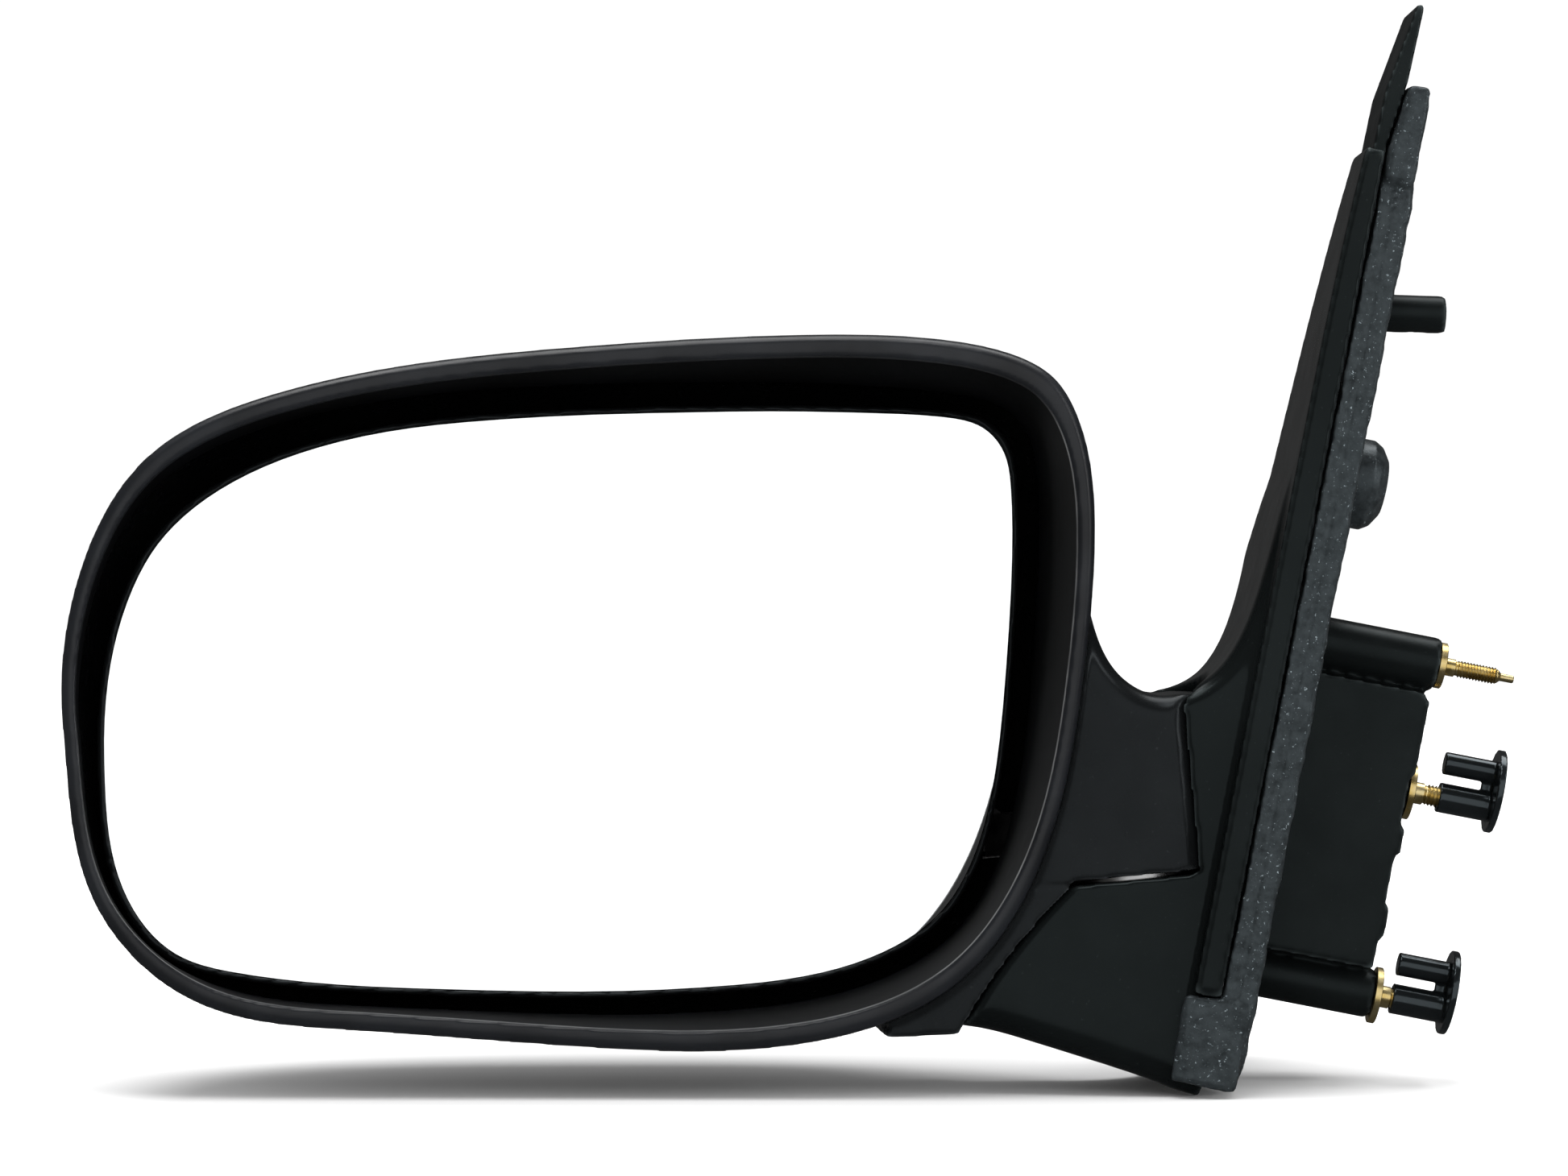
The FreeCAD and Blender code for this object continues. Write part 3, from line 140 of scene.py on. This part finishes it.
def plastic(name, level, tint, rough, gloss=0.3, grain_mm=0.5, grain_depth=0.012, wear=0.0, dusty=0.1):
    """Moulded black plastic: cloudy colour, uneven sheen, fine grain and lighter worn edges."""
    shader = Shader(name)
    clouds = shader.noise(28.0, 3.0)
    fine = shader.noise(grain_mm, 2.0)
    colour = shader.mix(
        shader.remap(clouds, 0.3, 0.7), grey(level * 0.8, tint), grey(level * 1.25, tint))
    dust = shader.remap(shader.noise(0.9, 3.0, 0.6), 0.66, 0.78, 0.0, dusty)
    colour = shader.mix(dust, colour, grey(0.12, tint))
    if wear > 0:
        edge = shader.remap(shader.node("ShaderNodeNewGeometry").outputs["Pointiness"], 0.52, 0.6, 0.0, wear)
        colour = shader.mix(edge, colour, grey(0.1, tint))
    sheen = shader.remap(shader.noise(9.0, 4.0), 0.3, 0.7, rough * 0.88, rough * 1.12)
    shader.set(Base_Color=colour, Roughness=sheen, Specular_IOR_Level=gloss, Specular_Tint=grey(1.0, tint))
    shader.set(Normal=shader.bump(fine, grain_depth))
    return shader.material


def rim_plastic():
    """Rim band with a soft blue-grey sheen that turns dull inside the recess, where its colour is painted
    near black as shade.
    """
    shader = Shader("rim_plastic")
    lowest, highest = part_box("rim_bezel")
    depth = shader.node("ShaderNodeSeparateXYZ", Vector=shader.place).outputs["Y"]
    inside = shader.remap(depth, lowest.y + 1.6 * MM, lowest.y + 2.6 * MM)
    clouds = shader.remap(shader.noise(22.0, 3.0), 0.3, 0.7)
    band = shader.mix(clouds, grey(0.007, (0.9, 1.0, 1.2)), grey(0.012, (0.9, 1.0, 1.2)))
    # Painted shade: the recess wall is coloured near black, much darker than the band, for the shade that
    # falls inside the recess.
    painted_recess_shade = shader.mix(clouds, grey(0.0012, (0.8, 0.9, 1.2)), grey(0.003, (0.8, 0.9, 1.2)))
    rough = shader.node("ShaderNodeMix", {"data_type": "FLOAT"})
    shader.feed(rough.inputs[0], inside)
    shader.feed(rough.inputs[2], shader.remap(shader.noise(7.0, 4.0), 0.3, 0.7, 0.3, 0.4))
    rough.inputs[3].default_value = 0.62
    shader.set(Base_Color=shader.mix(inside, band, painted_recess_shade), Roughness=rough.outputs[0])
    shader.set(Specular_IOR_Level=shader.remap(inside, 0.0, 1.0, 0.24, 0.05))
    shader.set(Normal=shader.bump(shader.noise(0.45, 2.0), 0.012))
    return shader.material


def rubber(name, level, tint, rough, gloss=0.4, speck=0.0, lump_mm=2.2, lump_depth=0.12):
    """Soft rubber: lumpy skin, and dust specks where asked."""
    shader = Shader(name)
    lumps = shader.noise(lump_mm, 4.0, 0.6)
    colour = shader.mix(shader.remap(lumps, 0.3, 0.7), grey(level * 0.7, tint), grey(level * 1.4, tint))
    if speck > 0:
        dust = shader.remap(shader.noise(0.8, 3.0, 0.7), 0.62, 0.72, 0.0, speck)
        colour = shader.mix(dust, colour, grey(0.42, tint))
    shader.set(Base_Color=colour, Roughness=shader.remap(lumps, 0.3, 0.7, rough * 0.8, rough * 1.2))
    shader.set(Specular_IOR_Level=gloss, Specular_Tint=grey(1.0, tint))
    coarse = shader.bump(lumps, lump_depth)
    shader.set(Normal=shader.bump(shader.noise(0.5, 2.0), 0.03, under=coarse))
    return shader.material


def metal(name, first, second, rough, blotch_mm=4.0, scratch=0.01):
    """Plated or drawn metal with blotches in colour and sheen."""
    shader = Shader(name)
    blotches = shader.noise(blotch_mm, 4.0, 0.6)
    fine = shader.noise(0.35, 2.0)
    colour = shader.mix(shader.remap(blotches, 0.32, 0.68), (*first, 1.0), (*second, 1.0))
    shader.set(Base_Color=colour, Metallic=1.0)
    shader.set(Roughness=shader.remap(blotches, 0.3, 0.7, rough * 0.75, rough * 1.3))
    shader.set(Normal=shader.bump(fine, scratch))
    return shader.material


def mirror():
    """Silvered glass with the faintest haze of handling."""
    shader = Shader("mirror_silver")
    haze = shader.noise(30.0, 3.0)
    colour = shader.mix(shader.remap(haze, 0.3, 0.7), (0.93, 0.95, 0.955, 1), (0.955, 0.97, 0.975, 1))
    shader.set(Base_Color=colour, Metallic=1.0, Roughness=shader.remap(haze, 0.4, 0.8, 0.004, 0.02))
    return shader.material


def foam():
    """Closed-cell foam tape."""
    shader = Shader("foam_tape")
    cells = shader.node("ShaderNodeTexVoronoi", Scale=1400.0, Vector=shader.place).outputs["Distance"]
    colour = shader.mix(shader.remap(cells, 0.1, 0.6), grey(0.05), grey(0.14))
    shader.set(Base_Color=colour, Roughness=0.92, Normal=shader.bump(cells, 0.2))
    return shader.material


COOL = (0.84, 0.94, 1.0)
TEAL = (0.8, 0.98, 1.0)
BLUE = (0.78, 0.93, 1.0)
FINISHES = {
    "arm_plastic": plastic("arm_plastic", 0.0045, TEAL, 0.2, gloss=0.1, wear=0.4, grain_depth=0.004),
    "frame_plastic": plastic("frame_plastic", 0.005, TEAL, 0.36, gloss=0.12, wear=0.5),
    "housing_plastic": plastic("housing_plastic", 0.006, COOL, 0.27, gloss=0.13, wear=0.4, grain_depth=0.006),
    "rim_plastic": rim_plastic(),
    "carrier_plastic": plastic("carrier_plastic", 0.004, COOL, 0.34, gloss=0.2, grain_depth=0.005),
    "seal_rubber": rubber("seal_rubber", 0.022, BLUE, 0.36, gloss=0.26, speck=0.6),
    "bumper_rubber": rubber("bumper_rubber", 0.02, BLUE, 0.36, gloss=0.35, speck=0.25, lump_depth=0.05),
    "cap_plastic": plastic("cap_plastic", 0.006, BLUE, 0.16, gloss=0.5, grain_mm=2.0, grain_depth=0.01),
    "zinc": metal("zinc", (0.58, 0.42, 0.14), (0.74, 0.62, 0.34), 0.3),
    "screw_steel": metal("screw_steel", (0.55, 0.56, 0.58), (0.68, 0.68, 0.66), 0.32),
    "post_steel": metal("post_steel", (0.42, 0.42, 0.43), (0.55, 0.55, 0.54), 0.3),
    "spring_steel": metal("spring_steel", (0.22, 0.22, 0.24), (0.34, 0.33, 0.32), 0.38),
    "cast_bracket": metal("cast_bracket", (0.05, 0.05, 0.055), (0.09, 0.09, 0.09), 0.6, 6.0, 0.06),
    "nylon": plastic("nylon", 0.62, (1.0, 0.98, 0.9), 0.45, gloss=0.5, dusty=0.0, grain_depth=0.01),
    "foam": foam(),
    "mirror": mirror(),
}
SLOT_OF = {part["node"]: part["material_slot"] for part in record["subparts"]}
BODY_OF = {node: body for body, group in record["behaviour"]["bodies"].items() for node in group}


def dress(obj, slot):
    """Give a piece one finish and nothing else."""
    obj.data.materials.clear()
    obj.data.materials.append(FINISHES[slot])


# ---------------------------------------------------------------- mesh tools

def new_object(name, mesh):
    """Put a mesh in the scene."""
    obj = bpy.data.objects.new(name, mesh)
    bpy.context.scene.collection.objects.link(obj)
    return obj


def baked(obj):
    """Apply an object's modifiers to its own mesh."""
    bpy.context.view_layer.update()
    graph = bpy.context.evaluated_depsgraph_get()
    mesh = bpy.data.meshes.new_from_object(obj.evaluated_get(graph), depsgraph=graph)
    obj.modifiers.clear()
    obj.data = mesh
    return obj


def welded_copy(name, node):
    """A separate mesh with a CAD node's shape and its seams welded."""
    mesh = bpy.data.meshes.new(name)
    work = bmesh.new()
    work.from_mesh(nodes[node].data)
    bmesh.ops.remove_doubles(work, verts=work.verts, dist=1e-6)
    work.to_mesh(mesh)
    work.free()
    return new_object(name, mesh)


def soften(obj, voxel_mm, rounds):
    """Remesh evenly and ease the edges, because a moulding has no sharp ones."""
    remesh = obj.modifiers.new("even", "REMESH")
    remesh.mode = "VOXEL"
    remesh.voxel_size = voxel_mm * MM
    remesh.adaptivity = 0.0
    baked(obj)
    smooth = obj.modifiers.new("ease", "SMOOTH")
    smooth.factor = 0.5
    smooth.iterations = rounds
    baked(obj)
    obj.data.shade_smooth()
    return obj


def stand_for(obj, *names):
    """Finish a piece that replaces CAD nodes: same body, same finish."""
    dress(obj, SLOT_OF[names[0]])
    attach(obj, BODY_OF[names[0]])
    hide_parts(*names)
    return obj


def moulded(name, node, voxel_mm, rounds):
    """A CAD node's shape with its edges eased, in place of the node."""
    return stand_for(soften(welded_copy(name, node), voxel_mm, rounds), node)


def crumpled(obj, depth_mm, size_mm):
    """Press an uneven surface into a soft piece, always inwards."""
    mesh = obj.data
    count = len(mesh.vertices)
    places = np.empty(count * 3)
    normals = np.empty(count * 3)
    mesh.vertices.foreach_get("co", places)
    mesh.vertex_normals.foreach_get("vector", normals)
    places = places.reshape(-1, 3)
    heights = np.array([
        noise.fractal(Vector(place), 0.9, 2.1, 3) for place in places / (size_mm * MM)])
    press = depth_mm * MM * np.clip(0.5 + 0.8 * heights, 0.0, 1.0)
    places -= normals.reshape(-1, 3) * press[:, None]
    mesh.vertices.foreach_set("co", places.ravel())
    mesh.update()
    return obj


def threaded_stud(name, node, mount_name, outline, thread):
    """A stud turned from (radius, height) rings in mm, with a helical thread between two heights."""
    mount = mounts[mount_name]
    axis = Vector(mount["axis"]).normalized()
    seat = Vector(mount["pos_m"]) - axis * (mount["dims"]["length_mm"] * MM / 2)
    side = axis.cross(Vector((0, 1, 0))).normalized()
    up = axis.cross(side)
    low, high, root, crest, pitch = thread
    rings = [(height, radius, 0.0) for radius, height in outline if height <= low]
    steps = int((high - low) / 0.1)
    for step in range(1, steps):
        height = low + 0.1 * step
        run = min(1.0, (height - low) / pitch, (high - height) / pitch)
        rings.append((height, root, (crest - root) * run))
    rings += [(height, radius, 0.0) for radius, height in outline if height >= high]
    sides = 48
    work = bmesh.new()
    rows = []
    for height, radius, ridge in rings:
        row = []
        for index in range(sides):
            turn = math.tau * index / sides
            phase = (height / pitch - index / sides) % 1.0
            reach = radius + ridge * (1.0 - abs(2.0 * phase - 1.0))
            spoke = side * math.cos(turn) + up * math.sin(turn)
            row.append(work.verts.new(seat + axis * (height * MM) + spoke * (reach * MM)))
        rows.append(row)
    for first, second in zip(rows, rows[1:]):
        for index in range(sides):
            following = (index + 1) % sides
            work.faces.new((first[index], first[following], second[following], second[index]))
    work.faces.new(list(reversed(rows[0])))
    work.faces.new(rows[-1])
    bmesh.ops.recalc_face_normals(work, faces=work.faces)
    mesh = bpy.data.meshes.new(name)
    work.to_mesh(mesh)
    work.free()
    mesh.shade_smooth()
    mesh.set_sharp_from_angle(angle=math.radians(32))
    return stand_for(new_object(name, mesh), node)


def bracket_tape():
    """Thin foam tape under the bracket's arm, which closes its slot in the housing."""
    hinge = next(joint for joint in record["behaviour"]["joints"] if joint["name"] == "head_fold")
    seat = Vector(hinge["pos_m"])
    up = Vector(hinge["axis"]).normalized()
    if up.z < 0:
        up = -up
    forward = Vector((0, 1, 0))
    across = forward.cross(up)
    work = bmesh.new()
    rows = []
    for step in range(13):
        fore = 28.6 + 4.4 * step / 12
        tuck = 0.04 if step in (0, 12) else 0.0
        sag = 0.02 * math.sin(step * 1.9)
        low = 4.93 + tuck
        high = 5.26 - tuck + sag
        rows.append([
            work.verts.new(seat + (across * side + forward * fore + up * level) * MM)
            for side, level in ((-31.0, low), (-24.8, low), (-24.8, high), (-31.0, high))])
    for first, second in zip(rows, rows[1:]):
        for index in range(4):
            following = (index + 1) % 4
            work.faces.new((first[index], first[following], second[following], second[index]))
    work.faces.new(rows[0])
    work.faces.new(rows[-1])
    bmesh.ops.recalc_face_normals(work, faces=work.faces)
    mesh = bpy.data.meshes.new("bracket_tape")
    work.to_mesh(mesh)
    work.free()
    tape = new_object("bracket_tape", mesh)
    dress(tape, "foam")
    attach(tape, "head")


# ---------------------------------------------------------------- pieces

bracket_tape()
moulded("housing_skin", "housing_shell", 0.75, 5)
moulded("rim_skin", "rim_bezel", 0.65, 6)
moulded("arm_skin", "base_arm", 0.8, 6)
moulded("frame_skin", "base_frame", 0.8, 2)
crumpled(moulded("seal_skin", "door_seal", 0.6, 4), 0.5, 7.0)
moulded("carrier_skin", "glass_carrier", 0.7, 3)
moulded("bumper_skin", "rubber_bumper", 0.35, 6)
moulded("front_cap_skin", "stud_cap_front", 0.25, 4)
moulded("lower_cap_skin", "stud_cap_lower", 0.25, 4)

# Stud outlines as (radius, height above the seat) in millimetres; the thread replaces the middle.
M5_OUTLINE = [
    (0.6, -19.9), (1.9, -19.9), (1.98, -19.6), (1.98, -1.6), (6.2, -1.6), (6.38, -1.45), (6.38, -0.15),
    (6.2, -0.02), (2.5, 0.0), (2.48, 2.4), (2.0, 2.7), (2.0, 12.0), (1.5, 12.48), (0.4, 12.5),
]
M4_OUTLINE = [
    (0.6, -19.9), (1.9, -19.9), (1.98, -19.6), (1.98, -1.6), (5.0, -1.6), (5.18, -1.45), (5.18, -0.15),
    (5.0, -0.02), (2.0, 0.0), (1.98, 2.4), (1.55, 2.7), (1.55, 12.2), (0.9, 12.9), (0.88, 15.7),
    (0.7, 15.95), (0.3, 16.0),
]
threaded_stud("front_stud_turned", "stud_front", "stud_front_pin", M5_OUTLINE, (2.7, 12.0, 2.0, 2.46, 0.8))
threaded_stud("lower_stud_turned", "stud_lower", "stud_lower_pin", M5_OUTLINE, (2.7, 12.0, 2.0, 2.46, 0.8))
threaded_stud("upper_stud_turned", "stud_upper", "stud_upper_pin", M4_OUTLINE, (2.7, 12.2, 1.55, 1.96, 0.7))

for name, obj in nodes.items():
    dress(obj, SLOT_OF[name])
    obj.data.set_sharp_from_angle(angle=math.radians(35))


# ---------------------------------------------------------------- studio

def floor():
    """A wide pale floor under the mirror, painted with a glow that grows away from the centre; the white air
    behind it hides its far edge.
    """
    low = cad_box[0].z
    reach = 12.0
    work = bmesh.new()
    corners = ((-reach, -reach), (reach, -reach), (reach, reach), (-reach, reach))
    work.faces.new([work.verts.new((x, y, low)) for x, y in corners])
    mesh = bpy.data.meshes.new("studio_floor")
    work.to_mesh(mesh)
    work.free()
    shader = Shader("studio_paper")
    shader.set(Base_Color=grey(0.88), Roughness=0.95, Specular_IOR_Level=0.1)
    away = shader.node("ShaderNodeVectorMath", {"operation": "LENGTH"}, Vector=shader.place).outputs["Value"]
    # Painted light: the floor glows more the farther it lies from the centre, brightening its far part to
    # white.
    shader.set(Emission_Color=grey(1.0), Emission_Strength=shader.remap(away, 0.3, 2.2, 0.0, 0.55))
    mesh.materials.append(shader.material)
    paper = new_object("studio_floor", mesh)
    paper.visible_glossy = False


def area_light(name, place, aim, size, power):
    """A rectangular light of a size in metres and a power in watts."""
    light = bpy.data.lights.new(name, "AREA")
    light.shape = "RECTANGLE"
    light.size, light.size_y = size
    light.energy = power
    obj = bpy.data.objects.new(name, light)
    bpy.context.scene.collection.objects.link(obj)
    obj.location = place
    obj.rotation_euler = (Vector(aim) - Vector(place)).to_track_quat("-Z", "Y").to_euler()


def ray_level(tree, ray, level, otherwise):
    """The first strength for one kind of ray, and the second strength or socket for the rest."""
    rays = tree.nodes.new("ShaderNodeLightPath")
    choose = tree.nodes.new("ShaderNodeMix")
    choose.data_type = "FLOAT"
    tree.links.new(rays.outputs[ray], choose.inputs[0])
    if isinstance(otherwise, bpy.types.NodeSocket):
        tree.links.new(otherwise, choose.inputs[2])
    else:
        choose.inputs[2].default_value = otherwise
    choose.inputs[3].default_value = level
    return choose.outputs[0]


def studio():
    """White air that the camera sees, dim in reflections so that black plastic stays black."""
    floor()
    world = bpy.data.worlds.new("studio_air")
    bpy.context.scene.world = world
    world.use_nodes = True
    tree = world.node_tree
    air = tree.nodes["Background"]
    air.inputs["Color"].default_value = (1.0, 1.0, 1.0, 1.0)
    dimmed = ray_level(tree, "Is Glossy Ray", 0.07, 0.72)
    tree.links.new(ray_level(tree, "Is Camera Ray", 1.05, dimmed), air.inputs["Strength"])
    area_light("high_box", (0, 0.5, 2.2), (0, 0.7, 0), (2.6, 1.4), 60)
    area_light("card_behind_camera", (0.45, -2.6, 0.5), (-0.1, 0, 0.05), (3.2, 2.2), 26)
    area_light("top_box", (-0.35, -0.35, 1.3), (-0.1, 0, 0), (1.0, 0.5), 9)
    area_light("side_strip", (1.3, -0.6, 0.5), (-0.05, 0, 0.05), (0.3, 1.2), 6)


def camera():
    """Level camera about a metre behind the glass, as a small product shot is taken."""
    centre = (cad_box[0] + cad_box[1]) / 2
    lens = bpy.data.cameras.new("camera")
    lens.sensor_width = 36.0
    lens.lens = 105.7
    lens.clip_start = 0.05
    obj = bpy.data.objects.new("camera", lens)
    bpy.context.scene.collection.objects.link(obj)
    obj.location = (centre.x - 3.2 * MM, cad_box[0].y - 1.0, centre.z - 8.1 * MM)
    obj.rotation_euler = (math.radians(90), 0, 0)
    bpy.context.scene.camera = obj


studio()
camera()
bpy.context.scene.view_settings.view_transform = "Standard"
